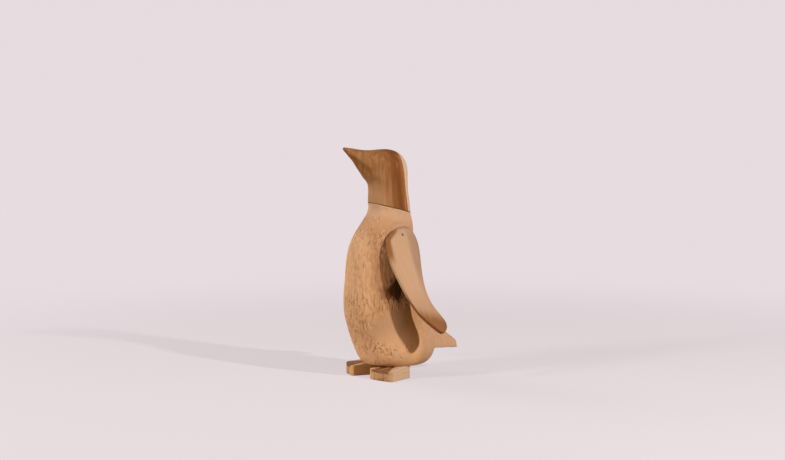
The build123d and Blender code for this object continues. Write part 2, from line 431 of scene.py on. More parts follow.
@dataclass(frozen=True)
class RootSurface:
    """Where the carver gouged the body, and where it is smooth."""

    belt: Zone = Zone(Gouges(2.4 * MM, 10.0 * MM, 0.46, 0.10), mm(101, 22), beside=0.35, ahead=0.55)
    chest: Zone = Zone(Gouges(2.5 * MM, 22.0 * MM, 0.42, 0.38, 11.7), mm(176, 42), beside=0.20, ahead=0.60)
    flank: Zone = Zone(Gouges(2.4 * MM, 40.0 * MM, 0.34, 0.05, 7.3), mm(128, 56), beside=0.15, ahead=0.50)
    hem: Zone = Zone(Gouges(2.5 * MM, 11.0 * MM, 0.46, -0.45, 5.9), mm(41, 16), beside=0.10, ahead=0.75)
    pits: Gouges = Gouges(2.6 * MM, 2.8 * MM, 0.36, offset=3.1)
    rear_pits: float = 0.70
    collar_pits: float = 0.18
    collar_rise: Span = mm(190, 198)
    rear: Band = mm(62, 30)
    rear_half: Span = mm(-6, 6)
    front_half: Span = mm(0, -24)
    front_face: Span = mm(-24, -46)
    belly: Band = mm(76, 46)
    belly_face: Span = mm(-36, -52)
    belly_share: float = 0.9
    uneven_size: float = 26.0 * MM
    uneven: float = 20.0 * MM
    group_size: Point = mm(12, 12, 18)
    group_edge: Span = (0.36, 0.60)
    group_least: float = 0.45
    smooth_middle: Point = mm(43, -44, 67)
    smooth_radii: Point = mm(22, 19, 21)
    smooth_edge: Span = (0.7, 1.1)
    ragged_size: Point = mm(11, 11, 15)
    ragged: float = 1.1
    furrow_size: Point = mm(3, 3, 8.5)
    furrow_floor: Span = (0.50, 0.36)
    furrow_crest: Span = (0.50, 0.64)
    furrow_depth: float = 0.75
    furrow_top: Span = mm(200, 180)
    chest_furrows: float = 0.9
    front_furrows: float = 0.4
    rear_furrows: float = 0.5
    beside_furrows: float = 0.2

    def from_patch(self, place: Value) -> Value:
        """Distance from the middle of the smooth patch, where about 1 is its uneven edge."""
        ragged = place.cloud(self.ragged_size).swing(self.ragged)
        return place.far(self.smooth_middle, self.smooth_radii) + ragged

    def marks(self, place: Value) -> Marks:
        """The marks that are cut into the body, with the furrows that the gouge's edge leaves.

        Args:
            place: Where to look.

        Returns:
            The marks.
        """
        back, level = place.part("Y"), place.part("Z")
        height = level + place.cloud((self.uneven_size,) * 3, COARSE).swing(self.uneven)
        group = place.cloud(self.group_size, COARSE).ease(*self.group_edge).lifted(self.group_least)
        rough = self.from_patch(place).ease(*self.smooth_edge)
        ahead = back.ease(*self.front_half)
        belly = back.ease(*self.belly_face) * height.near(*self.belly)
        belt = height.near(*self.belt.band).larger(belly * self.belly_share)
        short = self.belt.share(belt, ahead)
        chest = self.chest.share(height.near(*self.chest.band), ahead)
        long = self.flank.share(height.near(*self.flank.band), ahead)
        low = self.hem.share(height.near(*self.hem.band), ahead)
        behind = back.ease(*self.rear_half) * height.near(*self.rear)
        collar = level.ease(*self.collar_rise) * self.collar_pits
        found = self.pits.marks(place, (behind * self.rear_pits).larger(collar))
        found = found.joined(self.belt.gouges.marks(place, short * rough * group))
        found = found.joined(self.chest.gouges.marks(place, chest * group))
        found = found.joined(self.flank.gouges.marks(place, long * rough))
        found = found.joined(self.hem.gouges.marks(place, low * group))
        front = back.ease(*self.front_face)
        worked = short.larger(chest * self.chest_furrows).larger(low).larger(front * self.front_furrows)
        worked = worked * front.lifted(self.beside_furrows)
        worked = worked.larger(behind * self.rear_furrows) * rough * level.ease(*self.furrow_top)
        comb = place.cloud(self.furrow_size, COARSE)
        floor = comb.ease(*self.furrow_floor) * worked * self.furrow_depth
        return found.joined(Marks(floor, comb.ease(*self.furrow_crest) * worked))


@dataclass(frozen=True)
class Feel:
    """How dull a finish is, how much its grain adds to that, and how deep the grain is."""

    roughness: float
    grain: float
    relief: float


@dataclass(frozen=True)
class Coat:
    """What a finish gives to the surface of a piece."""

    colour: Value
    dull: Value
    height: Value


class Finish:
    """A wood or metal. Each kind paints its own coat."""

    title: str
    feel: Feel
    metallic = 0.0
    specular = 0.12

    def coat(self, place: Value) -> Coat:
        """Paints the surface."""
        raise NotImplementedError

    def material(self) -> bpy.types.Material:
        """Makes the material.

        Returns:
            The material, ready for a slot.
        """
        made = bpy.data.materials.new(self.title)
        made.use_nodes = True
        graph = Graph(made.node_tree)
        coat = self.coat(graph.place())
        relief = {"Strength": 1.0, "Distance": self.feel.relief, "Height": coat.height}
        inputs = {
            "Base Color": coat.colour,
            "Roughness": self.feel.roughness + coat.dull * self.feel.grain,
            "Metallic": self.metallic,
            "Specular IOR Level": self.specular,
            "Normal": graph.node("ShaderNodeBump", {}, relief),
        }
        shader = graph.node("ShaderNodeBsdfPrincipled", {}, inputs)
        graph.node("ShaderNodeOutputMaterial", {}, {"Surface": shader})
        return made


@dataclass(frozen=True)
class RootWood(Finish):
    """Pale, pitted root wood of the body, with one scorched knot."""

    title = "root_wood"
    feel: Feel = Feel(0.60, 0.08, 0.40 * MM)
    surface: RootSurface = RootSurface()
    light: Tone = (0.362, 0.187, 0.084)
    dark: Tone = (0.200, 0.082, 0.028)
    patch: Grain = Grain((0.332, 0.169, 0.087), 1.0, (0.38, 0.64), mm(38, 38, 52))
    streak: Grain = Grain((0.320, 0.160, 0.062), 0.45, (0.48, 0.70), mm(5, 5, 60))
    fibre: Grain = Grain(dark, 0.12, (0.46, 0.74), mm(1.1, 1.1, 16))
    fibre_height: float = 0.2
    # Painted shade: darker colour in the hollows of the tool marks.
    cut: Stain = Stain(dark, 0.56)
    cut_dullness: float = 2.5
    # Lighter lips of the tool marks: partly raw fibre, partly a painted highlight.
    pale: Stain = Stain((0.560, 0.322, 0.165), 0.34)
    rosy: Stain = Stain((0.450, 0.270, 0.168), 0.80)
    rear: Span = mm(-6, 22)
    # Rosy, lighter smooth patch low on the flank: partly the wood's own tone, partly painted light.
    smooth_edge: Span = (1.5, 0.5)
    smooth_share: float = 0.6
    collar: Stain = Stain((0.405, 0.225, 0.120), 0.80)
    collar_rise: Span = mm(186, 206)
    collar_top: Span = mm(202, 214)
    collar_rear: Span = mm(-32, -14)
    # Lighter wood low on the body and on the breast: partly its own pale tone, partly painted light from
    # the floor below and a painted sheen at the front.
    blond: Stain = Stain((0.690, 0.415, 0.235), 0.75)
    hem_fall: Span = mm(76, 38)
    hem_front: Span = mm(14, -6)
    breast: Span = mm(-52, -64)
    breast_share: float = 0.6
    # Browner patch beside the knot: partly the wood's own tone, partly a painted shadow of the flipper.
    flush: Patch = Patch((0.270, 0.118, 0.050), 0.60, (1.3, 0.3), mm(42, -45, 139), mm(17, 15, 33))
    smudge: Patch = Patch((0.150, 0.052, 0.016), 0.85, (1.5, 0.4), mm(45.7, -43, 113.5), mm(11, 8.5, 9))
    knot: Patch = Patch((0.040, 0.013, 0.002), 1.0, (1.3, 0.6), mm(47.5, -31, 117.5), mm(14, 10.5, 16))
    ragged_size: Point = mm(4.5, 4.5, 8)
    ragged: float = 1.3

    def coat(self, place: Value) -> Coat:
        """Paints the surface.

        Args:
            place: Where to paint.

        Returns:
            The coat.
        """
        back, level = place.part("Y"), place.part("Z")
        marks = self.surface.marks(place)
        fibres = self.fibre.cloud(place)
        smooth = self.surface.from_patch(place).ease(*self.smooth_edge)
        collar = level.ease(*self.collar_rise)
        worn = back.ease(*self.collar_rear).larger(level.ease(*self.collar_top))
        hem = level.ease(*self.hem_fall) * back.ease(*self.hem_front)
        ragged = place.cloud(self.ragged_size, FINE).swing(self.ragged)
        colour = painted(
            self.light,
            (self.patch, self.patch.cloud(place)),
            (self.streak, self.streak.cloud(place)),
            # Rosy rump, and the lighter smooth patch low on the flank, which is partly painted light.
            (self.rosy, back.ease(*self.rear).larger(smooth * self.smooth_share)),
            (self.collar, collar),
            (self.rosy, collar * worn),
            # Lighter hem and breast: partly pale wood, partly painted light and painted sheen.
            (self.blond, hem.larger(back.ease(*self.breast) * self.breast_share)),
            (self.fibre, fibres),
            # Lighter lips of the marks: partly raw fibre, partly a painted highlight.
            (self.pale, marks.lip),
            # Painted shade in the hollows of the tool marks.
            (self.cut, marks.cut),
            # Browner patch beside the knot, partly a painted shadow of the flipper.
            (self.flush, self.flush.far(place) + ragged),
            (self.smudge, self.smudge.far(place) + ragged),
            (self.knot, self.knot.far(place) + ragged),
        )
        dull = fibres + marks.cut * self.cut_dullness
        return Coat(colour, dull, marks.height() + fibres * self.fibre_height)


@dataclass(frozen=True)
class HeadWood(Finish):
    """Brown heartwood of the head, with a strip of sapwood down its back."""

    title = "head_wood"
    feel: Feel = Feel(0.74, 0.14, 0.16 * MM)
    thickness: float = 60.0 * MM
    slant: float = 0.105
    slant_height: float = 217.0 * MM
    layers: Sequence[tuple[float, Tone]] = (
        (0.00, (0.232, 0.104, 0.037)),
        (0.22, (0.222, 0.096, 0.032)),
        (0.36, (0.228, 0.100, 0.034)),
        (0.48, (0.210, 0.085, 0.026)),
        (0.62, (0.196, 0.074, 0.021)),
        (0.72, (0.172, 0.061, 0.015)),
        (0.80, (0.132, 0.042, 0.008)),
        (0.87, (0.162, 0.053, 0.010)),
        (0.94, (0.270, 0.098, 0.029)),
    )
    sway_size: Point = mm(14, 14, 60)
    sway: float = 6.0 * MM
    dark: Tone = (0.130, 0.046, 0.013)
    light: Tone = (0.370, 0.208, 0.104)
    streak: Grain = Grain(dark, 0.36, (0.50, 0.62), mm(4, 4, 60))
    light_streak: Fade = Fade(light, 0.25, (0.48, 0.36))
    fibre: Grain = Grain(dark, 0.24, (0.45, 0.75), mm(1.2, 1.2, 26))
    grain_height: float = 0.5
    crown: Patch = Patch(dark, 0.75, (1.3, 0.5), mm(0, -17, 288), mm(22, 10, 7))
    # Lighter throat and cheek: partly the wood's own tone, partly painted light in the shade of the hollow
    # under the cheek and of the throat.
    throat: Stain = Stain(light, 0.65)
    throat_fall: Span = mm(276, 234)
    throat_depth: Span = mm(-20, -38)
    sap: Fade = Fade((0.478, 0.330, 0.244), 1.0, mm(-1.2, 0.6))
    sap_sway: float = 0.25
    soot: Stain = Stain((0.060, 0.022, 0.008), 0.65)
    seam_back: float = -41.2 * MM
    seam_height: float = 223.9 * MM
    seam_fall: float = 0.2623
    seam_line: Span = mm(0.8, 0.1)
    speck_size: Point = mm(2.4, 2.4, 2.4)
    speck_edge: Span = (0.60, 0.68)
    speck_rise: Span = mm(3, 1.2)

    def coat(self, place: Value) -> Coat:
        """Paints the surface.

        Args:
            place: Where to paint.

        Returns:
            The coat.
        """
        sway = place.cloud(self.sway_size).swing(self.sway)
        depth = place.part("Y") + (place.part("Z") - self.slant_height) * self.slant
        fibres, streaks = self.fibre.cloud(place), self.streak.cloud(place)
        throat = place.part("Z").ease(*self.throat_fall) * (depth + sway).ease(*self.throat_depth)
        layer = (depth + sway) / self.thickness + 1.0
        colour = painted(
            place.graph.node("ShaderNodeValToRGB", {"stops": self.layers}, {0: layer}),
            (self.streak, streaks),
            (self.light_streak, streaks),
            (self.fibre, fibres),
            (self.crown, self.crown.far(place) + streaks.swing()),
            # Lighter throat and cheek, partly painted light in their shade.
            (self.throat, throat),
            (self.sap, depth + sway * self.sap_sway),
            (self.soot, self.seam(place)),
        )
        return Coat(colour, fibres, (fibres + streaks) * self.grain_height)

    def seam(self, place: Value) -> Value:
        """The glue line at the foot of the neck, with a few specks above it.

        Args:
            place: Where to look.

        Returns:
            1 where it is darkest and 0 outside.
        """
        above = place.part("Z") - self.seam_height + (place.part("Y") - self.seam_back) * self.seam_fall
        specks = place.cloud(self.speck_size, COARSE).ease(*self.speck_edge)
        return above.ease(*self.seam_line).larger(above.ease(*self.speck_rise) * specks)


@dataclass(frozen=True)
class FlipperWood(Finish):
    """Smooth pale wood of a flipper, brown at its rim and tip, with painted shade on its lower edge near
    the tip and on its face behind the ridge.
    """

    title: str
    pivot: Point
    outward: Point
    feel: Feel = Feel(0.55, 0.12, 0.14 * MM)
    sweep: float = 14.0
    light: Tone = (0.402, 0.240, 0.138)
    pink: Tone = (0.330, 0.200, 0.128)
    brown: Tone = (0.172, 0.058, 0.010)
    wide: Grain = Grain(pink, 0.25, (0.46, 0.66), mm(40, 12, 60))
    streak: Grain = Grain(brown, 0.05, (0.50, 0.68), mm(6, 4, 80))
    streak_height: float = 0.4
    ragged: float = 10.0 * MM
    fibre: Grain = Grain(brown, 0.07, (0.48, 0.76), mm(1.2, 1.2, 26))
    fibre_height: float = 0.6
    # Darker face behind the ridge: partly a pinkish tone of the wood, partly painted shade of a face
    # turned away from the lamps.
    rear: Stain = Stain((0.278, 0.166, 0.104), 0.90)
    rear_edge: Span = mm(-4, 3)
    rear_ragged: float = 0.4
    rear_fall: Span = mm(95, 40)
    ridge_back: float = 6.0 * MM
    ridge_sweep: float = 0.055
    top: Fade = Fade(pink, 0.60, mm(6, -8))
    crest: Fade = Fade(brown, 0.50, mm(-5.5, -10))
    end: Fade = Fade(brown, 0.28, mm(66, 112))
    # Brown at the rim and tip; along the lower edge near the tip it is painted shade.
    heart: Stain = Stain(brown, 0.90)
    rim_out: Span = mm(10, 8.6)
    rim_drop: Span = mm(-6, 8)
    rim_slope: float = 2.4 * MM
    rim_front: Span = mm(2, -8)
    rim_fall: Span = mm(42, 22)
    tip_fall: Span = mm(100, 118)
    tip_aside: float = 8.0 * MM
    tip_lean: float = 0.6
    edge_out: Span = mm(6, 4.4)
    edge_front: Span = mm(-3, -9)
    edge_fall: Span = mm(70, 92)

    def coat(self, place: Value) -> Coat:
        """Paints the surface.

        Args:
            place: Where to paint.

        Returns:
            The coat.
        """
        out_x, _, out_z = self.outward
        hung = place.away(self.pivot)
        out, back = hung.dot(self.outward), hung.part("Y")
        down = hung.dot((math.copysign(out_z, out_x), 0.0, -abs(out_x)))
        sine, cosine = sine_cosine(self.sweep)
        across = back * cosine - down * sine
        along = back * sine + down * cosine
        grain = place.graph.point(out, across, along)
        fibres, streaks = self.fibre.cloud(grain), self.streak.cloud(grain)
        ragged = streaks.swing(self.ragged)
        behind = back - self.ridge_back - down * self.ridge_sweep + ragged * self.rear_ragged
        rim = (out + down.ease(*self.rim_drop) * self.rim_slope).ease(*self.rim_out)
        tip = (along - (across + self.tip_aside) * self.tip_lean + ragged).ease(*self.tip_fall)
        # The lower edge near the tip, whose side face is in shade: painted shade.
        edge = out.ease(*self.edge_out) * across.ease(*self.edge_front) * down.ease(*self.edge_fall)
        colour = painted(
            self.light,
            (self.wide, self.wide.cloud(grain)),
            # Face behind the ridge: pinkish tone with painted shade.
            (self.rear, behind.ease(*self.rear_edge) * down.ease(*self.rear_fall)),
            (self.top, down),
            (self.crest, down),
            (self.end, along),
            (self.streak, streaks),
            (self.fibre, fibres),
            # Brown along the front rim near the top.
            (self.heart, rim * back.ease(*self.rim_front) * down.ease(*self.rim_fall)),
            # Brown tip, and painted shade on the lower edge near the tip.
            (self.heart, tip.larger(edge)),
        )
        return Coat(colour, fibres, fibres * self.fibre_height + streaks * self.streak_height)


@dataclass(frozen=True)
class FootWood(Finish):
    """Wood of a foot, pale on the outer side, lighter on the inner side partly as painted light, and with
    painted shade in the grooves between the toes.
    """

    title: str
    side: Side
    heel: Point
    feel: Feel = Feel(0.55, 0.14, 0.22 * MM)
    turn: float = 17.0
    brown: Tone = (0.400, 0.218, 0.102)
    cream: Tone = (0.475, 0.325, 0.218)
    dark: Tone = (0.135, 0.046, 0.012)
    patch: Grain = Grain(cream, 0.50, (0.42, 0.62), mm(16, 22, 9))
    fibre: Grain = Grain(dark, 0.20, (0.46, 0.74), mm(1.2, 18, 1))
    fibre_height: float = 0.7
    layer: Stain = Stain(dark, 0.45)
    layer_size: Point = mm(14, 40, 3.2)
    layer_edge: Span = (0.54, 0.68)
    layer_loss: float = 2.0 / 3.0
    layer_height: float = 0.3
    outer: Stain = Stain(cream, 0.90)
    outer_edge: Span = mm(8, 15)
    outer_end: Span = mm(43, 38)
    # Lighter inner side: partly the wood's own tone, partly painted light where the inner side is in
    # shade.
    inner: Fade = Fade((0.580, 0.320, 0.128), 0.80, mm(-7, -14))
    # Pink patch low on the inner side: partly the wood's own tone, partly painted light.
    blush: Patch = Patch((0.640, 0.300, 0.185), 0.80, (1.3, 0.5), mm(-19.6, 34, 5), mm(6, 9, 3.5))
    # Painted shade in the grooves between the toes.
    dirt: Stain = Stain(dark, 0.85)
    groove_turn: float = 10.25
    groove_start: float = 9.0 * MM
    groove_spread: float = 0.25
    groove_edge: Span = mm(0, 1.6)
    groove_rise: Span = mm(9, 11)
    groove_sway: float = 5.0 * MM

    def coat(self, place: Value) -> Coat:
        """Paints the surface.

        Args:
            place: Where to paint.

        Returns:
            The coat.
        """
        sine, cosine = sine_cosine(self.turn)
        sign = float(self.side.value)
        stood, up = place.away(self.heel), place.part("Z")
        out = stood.dot((sign * cosine, sine, 0.0))
        along = stood.dot((sign * sine, -cosine, 0.0))
        own = place.graph.point(out, along, up)
        patches, fibres = self.patch.cloud(own), self.fibre.cloud(own)
        layers = own.cloud(self.layer_size)
        outer = out.ease(*self.outer_edge) * along.ease(*self.outer_end)
        groove = self.groove(out + patches.swing(self.groove_sway), along)
        colour = painted(
            self.brown,
            (self.patch, patches),
            (self.outer, outer),
            # Lighter inner side, partly painted light.
            (self.inner, out),
            # Pink patch on the inner side, partly painted light.
            (self.blush, self.blush.far(own) + patches.swing()),
            (self.layer, layers.ease(*self.layer_edge) * (1.0 - outer * self.layer_loss)),
            (self.fibre, fibres),
            # Painted shade in the grooves between the toes.
            (self.dirt, groove * up.ease(*self.groove_rise)),
        )
        return Coat(colour, fibres, fibres * self.fibre_height + layers * self.layer_height)

    def groove(self, out: Value, along: Value) -> Value:
        """1 in a groove between two toes and 0 outside, from the ways outward and ahead of the heel."""
        aside = abs(abs(out) - along * math.tan(math.radians(self.groove_turn)))
        return ((along - self.groove_start) * self.groove_spread - aside).ease(*self.groove_edge)


@dataclass(frozen=True)
class PlainFinish(Finish):
    """A plain wood or metal with one kind of grain."""

    title: str
    light: Tone
    grain: Grain
    feel: Feel
    metallic: float = Finish.metallic
    specular: float = Finish.specular

    def coat(self, place: Value) -> Coat:
        """Paints the surface."""
        cloud = self.grain.cloud(place)
        return Coat(self.grain.over(self.light, cloud), cloud, cloud)


class GougeTree:
    """The carving that cuts the marks into a mesh, from the same pattern as the wood's colour."""

    inputs: Sequence[str] = ("Mark depth", "Unevenness", "Room at seats")
    swell_size: Point = mm(24, 24, 34)

    def __init__(
        self, surface: RootSurface, seats: Sequence[Seat], material: bpy.types.Material
    ) -> None:
        """Builds the tree.

        Args:
            surface: Where the marks are.
            seats: The flat seats that the flippers turn on, which stay even.
            material: What the carved mesh is dressed in.
        """
        self.tree = bpy.data.node_groups.new("gouge_marks", "GeometryNodeTree")
        graph = Graph(self.tree)
        sockets = self.tree.interface
        sockets.new_socket("Mesh", in_out="INPUT", socket_type="NodeSocketGeometry")
        for name in self.inputs:
            sockets.new_socket(name, in_out="INPUT", socket_type="NodeSocketFloat")
        sockets.new_socket("Carved", in_out="OUTPUT", socket_type="NodeSocketGeometry")
        mesh = graph.node("NodeGroupInput", {}, {}, "Mesh")
        depth, sway, room = (Value(graph, mesh.socket.node.outputs[name]) for name in self.inputs)
        place = graph.place()
        marked = surface.marks(place).height() * depth
        swollen = place.cloud(self.swell_size, COARSE).swing() * sway
        for seat in seats:
            held = seat.near(place)
            swollen = swollen * seat.apart(place)
            marked = marked * (1.0 - held) - held * room
        normal = graph.node("GeometryNodeInputNormal", {}, {})
        outward = {0: normal, "Scale": swollen + marked}
        offset = graph.node("ShaderNodeVectorMath", {"operation": "SCALE"}, outward)
        moved = graph.node("GeometryNodeSetPosition", {}, {"Geometry": mesh, "Offset": offset})
        whole = graph.node("GeometryNodeRealizeInstances", {}, {"Geometry": moved})
        dressed = graph.node("GeometryNodeSetMaterial", {}, {"Geometry": whole, "Material": material})
        graph.node("NodeGroupOutput", {}, {"Carved": dressed})

    def cut(self, piece: bpy.types.Object, depth: float, sway: float, room: float) -> None:
        """Puts the carving on a piece.

        Args:
            piece: The piece that is carved.
            depth: Depth of the deepest marks.
            sway: How far the surface swells between hollow and bump.
            room: How far the seats are sunk, so that the flippers turn freely.
        """
        modifier = piece.modifiers.new("gouges", "NODES")
        modifier.node_group = self.tree
        for name, setting in zip(self.inputs, (depth, sway, room)):
            modifier[self.tree.interface.items_tree[name].identifier] = setting


class Carving:
    """A worked copy of a solid's mesh that stands for the solid."""

    weld: float = 0.002 * MM
    sanding: float = 0.5
    sanded_edge: Span = (1.0, 0.5)

    def __init__(self, node: bpy.types.Object, name: str) -> None:
        """Copies the solid's mesh and joins its loose triangles.

        Args:
            node: The solid's object.
            name: Name of the new piece.
        """
        mesh = node.data.copy()
        mesh.name = name
        mesh.materials.clear()
        joined = bmesh.new()
        joined.from_mesh(mesh)
        bmesh.ops.remove_doubles(joined, verts=joined.verts, dist=self.weld)
        joined.to_mesh(mesh)
        joined.free()
        self.node_name = node.name
        self.piece = bpy.data.objects.new(name, mesh)
        bpy.context.scene.collection.objects.link(self.piece)

    def places(self) -> np.ndarray:
        """Reads where the points of the mesh are.

        Returns:
            The places, one in a row.
        """
        vertices = self.piece.data.vertices
        flat = np.empty(len(vertices) * 3, np.float32)
        vertices.foreach_get("co", flat)
        return flat.reshape(-1, 3).astype(float)

    def settle(self) -> None:
        """Makes the modifiers' result the piece's own mesh."""
        graph = bpy.context.evaluated_depsgraph_get()
        made = bpy.data.meshes.new_from_object(self.piece.evaluated_get(graph))
        self.piece.modifiers.clear()
        old = self.piece.data
        self.piece.data = made
        made.name = self.piece.name
        bpy.data.meshes.remove(old)

    def even(self, voxel: float, rounds: int) -> None:
        """Gives the mesh even small faces and softens its edges, as sanding does.

        Args:
            voxel: Size of the faces.
            rounds: How often the surface is smoothed.
        """
        remesh = self.piece.modifiers.new("faces", "REMESH")
        remesh.mode = "VOXEL"
        remesh.voxel_size = voxel
        self.sand(rounds)

    def sand(self, rounds: int, group: str = "") -> None:
        """Smooths the mesh.

        Args:
            rounds: How often the surface is smoothed.
            group: The vertex group that is smoothed, if not all of it.
        """
        smooth = self.piece.modifiers.new("sanding", "SMOOTH")
        smooth.factor = self.sanding
        smooth.iterations = rounds
        smooth.vertex_group = group
        self.settle()

    def soften(self, spots: Sequence[Point], radii: Point, rounds: int) -> None:
        """Sands the mesh more in some places.

        Args:
            spots: Middles of the places.
            radii: Half sizes of each place.
            rounds: How often the surface is smoothed there.
        """
        places = self.places()
        group = self.piece.vertex_groups.new(name="sanded")
        for spot in spots:
            far = np.linalg.norm((places - np.array(spot)) / np.array(radii), axis=1)
            shares = eased(far, *self.sanded_edge)
            for index in np.flatnonzero(shares):
                group.add([int(index)], float(shares[index]), "REPLACE")
        self.sand(rounds, group.name)
        self.piece.vertex_groups.clear()

    def thin(self, most: int) -> None:
        """Joins triangles where the surface is plain, until there are few enough.

        Args:
            most: How many triangles are left at most.
        """
        self.piece.data.calc_loop_triangles()
        count = len(self.piece.data.loop_triangles)
        thinning = self.piece.modifiers.new("thinning", "DECIMATE")
        thinning.ratio = min(1.0, most / count)
        self.settle()

    def push(self, distances: np.ndarray) -> None:
        """Moves every point along its normal.

        Args:
            distances: How far each point moves.
        """
        mesh, places = self.piece.data, self.places()
        flat = np.empty(places.size, np.float32)
        mesh.vertex_normals.foreach_get("vector", flat)
        normals = flat.reshape(-1, 3).astype(float)
        places += normals * distances[:, None]
        mesh.vertices.foreach_set("co", places.astype(np.float32).ravel())
        mesh.update()

    def hang(self, body: str, material: bpy.types.Material) -> None:
        """Dresses the piece and lets it stand for its solid.

        Args:
            body: Body that it moves with.
            material: What it is dressed in.
        """
        mesh = self.piece.data
        mesh.materials.clear()
        mesh.materials.append(material)
        mesh.shade_smooth()
        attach(self.piece, body)
        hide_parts(self.node_name)
        LOG.info("%s: %d faces", self.piece.name, len(mesh.polygons))


def eased(values: np.ndarray, start: float, end: float) -> np.ndarray:
    """Rises smoothly from 0 at start to 1 at end, or falls where end is the smaller."""
    share = np.clip((values - start) / (end - start), 0.0, 1.0)
    return share * share * (3.0 - 2.0 * share)


@dataclass(frozen=True)
class Bead:
    """A soft ridge along a straight line, or a hollow where its height is below 0."""

    start: Point
    end: Point
    radius: float
    height: float

    def raised(self, places: np.ndarray) -> np.ndarray:
        """How far the bead raises a surface.

        Args:
            places: Where to look.

        Returns:
            The height at each place.
        """
        first = np.array(self.start)
        along = np.array(self.end) - first
        share = np.clip((places - first) @ along / (along @ along), 0.0, 1.0)
        far = np.linalg.norm(places - first - share[:, None] * along, axis=1)
        return self.height * eased(far, self.radius, 0.0)


@dataclass
class Trunk:
    """The body with its tail."""

    nodes: Nodes
    seats: Sequence[Seat]
    voxel: float = 0.80 * MM
    rounds: int = 6
    mark_depth: float = 0.70 * MM
    sway: float = 1.6 * MM
    seat_edge: Point = mm(28.2, -21, 199.6)
    seat_edge_radii: Point = mm(11, 30, 9)
    seat_rounds: int = 140
    seat_room: float = 0.12 * MM
    most_triangles: int = 196_000

    def build(self) -> None:
        """Carves and dresses the body."""
        out, back, up = self.seat_edge
        finish = RootWood()
        material = finish.material()
        carving = Carving(self.nodes["body"], "carved_body")
        carving.even(self.voxel, self.rounds)
        spots = [(side.value * out, back, up) for side in Side]
        carving.soften(spots, self.seat_edge_radii, self.seat_rounds)
        tree = GougeTree(finish.surface, self.seats, material)
        tree.cut(carving.piece, self.mark_depth, self.sway, self.seat_room)
        carving.settle()
        carving.thin(self.most_triangles)
        carving.hang("figure", material)


@dataclass
class Head:
    """The head and beak."""

    nodes: Nodes
    voxel: float = 0.7 * MM
    rounds: int = 5
    hollow: Bead = Bead(mm(7, -66, 279), mm(14, -41, 251), 9.0 * MM, -0.9 * MM)
    ridge: Bead = Bead(mm(6, -71, 286.5), mm(16.5, -50, 270), 6.0 * MM, 0.7 * MM)

    def build(self) -> None:
        """Carves and dresses the head."""
        carving = Carving(self.nodes["head"], "carved_head")
        carving.even(self.voxel, self.rounds)
        carving.push(self.cheeks(carving.places()))
        carving.hang("figure", HeadWood().material())

    def cheeks(self, places: np.ndarray) -> np.ndarray:
        """The ridge of the cheek and the hollow under it, from beak to throat on both sides."""
        both = np.abs(places) * (1, 0, 0) + places * (0, 1, 1)
        return self.ridge.raised(both) + self.hollow.raised(both)


@dataclass
class Flipper:
    """One flipper, with a soft ridge along its outer face."""

    nodes: Nodes
    side: Side
    seat: Seat
    voxel: float = 0.5 * MM
    rounds: int = 4

    def build(self) -> None:
        """Dresses the flipper."""
        name = f"{self.side.word}_flipper"
        carving = Carving(self.nodes[name], f"sanded_{name}")
        carving.even(self.voxel, self.rounds)
        finish = FlipperWood(f"{name}_wood", self.seat.pivot, self.seat.outward)
        carving.hang(f"{name}_body", finish.material())


@dataclass
class Foot:
    """One foot, with its edges sanded."""

    nodes: Nodes
    side: Side
    heel_out: float = 22.0 * MM
    heel_back: float = -6.15 * MM
    right_lead: float = 9.6 * MM
    voxel: float = 0.5 * MM
    rounds: int = 4

    @property
    def heel(self) -> Point:
        """The middle of the heel. The right foot stands ahead of the left."""
        lead = self.right_lead if self.side is Side.RIGHT else 0.0
        return (self.side.value * self.heel_out, self.heel_back - lead, 0.0)

    def build(self) -> None:
        """Dresses the foot."""
        name = f"{self.side.word}_foot"
        carving = Carving(self.nodes[name], f"carved_{name}")
        carving.even(self.voxel, self.rounds)
        carving.hang("figure", FootWood(f"{name}_wood", self.side, self.heel).material())


@dataclass
class Fixings:
    """The nails, screws, dowel and pegs, which keep their own solids."""

    nodes: Nodes
    nail: tuple[Tone, Tone] = ((0.055, 0.040, 0.030), (0.020, 0.014, 0.010))
    screw: tuple[Tone, Tone] = ((0.56, 0.55, 0.53), (0.36, 0.34, 0.31))
    turned: PlainFinish = PlainFinish(
        "turned_wood",
        (0.660, 0.480, 0.300),
        Grain((0.460, 0.290, 0.150), 1.0, (0.38, 0.70), mm(0.9, 0.9, 14)),
        Feel(0.60, 0.15, 0.10 * MM),
    )

    @staticmethod
    def steel(title: str, bright: Tone, dull: Tone) -> PlainFinish:
        """Bright steel with dull specks."""
        specks = Grain(dull, share=1.0, edge=(0.40, 0.62), size=mm(0.7, 0.7, 0.7), detail=FINE)
        return PlainFinish(title, bright, specks, Feel(0.35, 0.25, 0.03 * MM), metallic=0.9, specular=0.5)

    def build(self) -> None:
        """Dresses every fixing."""
        nail = self.steel("nail_steel", *self.nail).material()
        screw = self.steel("screw_steel", *self.screw).material()
        turned = self.turned.material()
        materials = {"nail": nail, "screw": screw, "dowel": turned, "peg": turned}
        for name, node in self.nodes.items():
            material = materials.get(name.split("_")[-1])
            if material:
                node.data.materials.clear()
                node.data.materials.append(material)
                LOG.info("%s: %s", name, material.name)


@dataclass(frozen=True)
class Lamp:
    """A round lamp: its turn to the right of the camera, its rise, distance, width and brightness."""

    name: str
    turn: float
    rise: float
    far: float
    size: float
    level: float
    tone: Tone


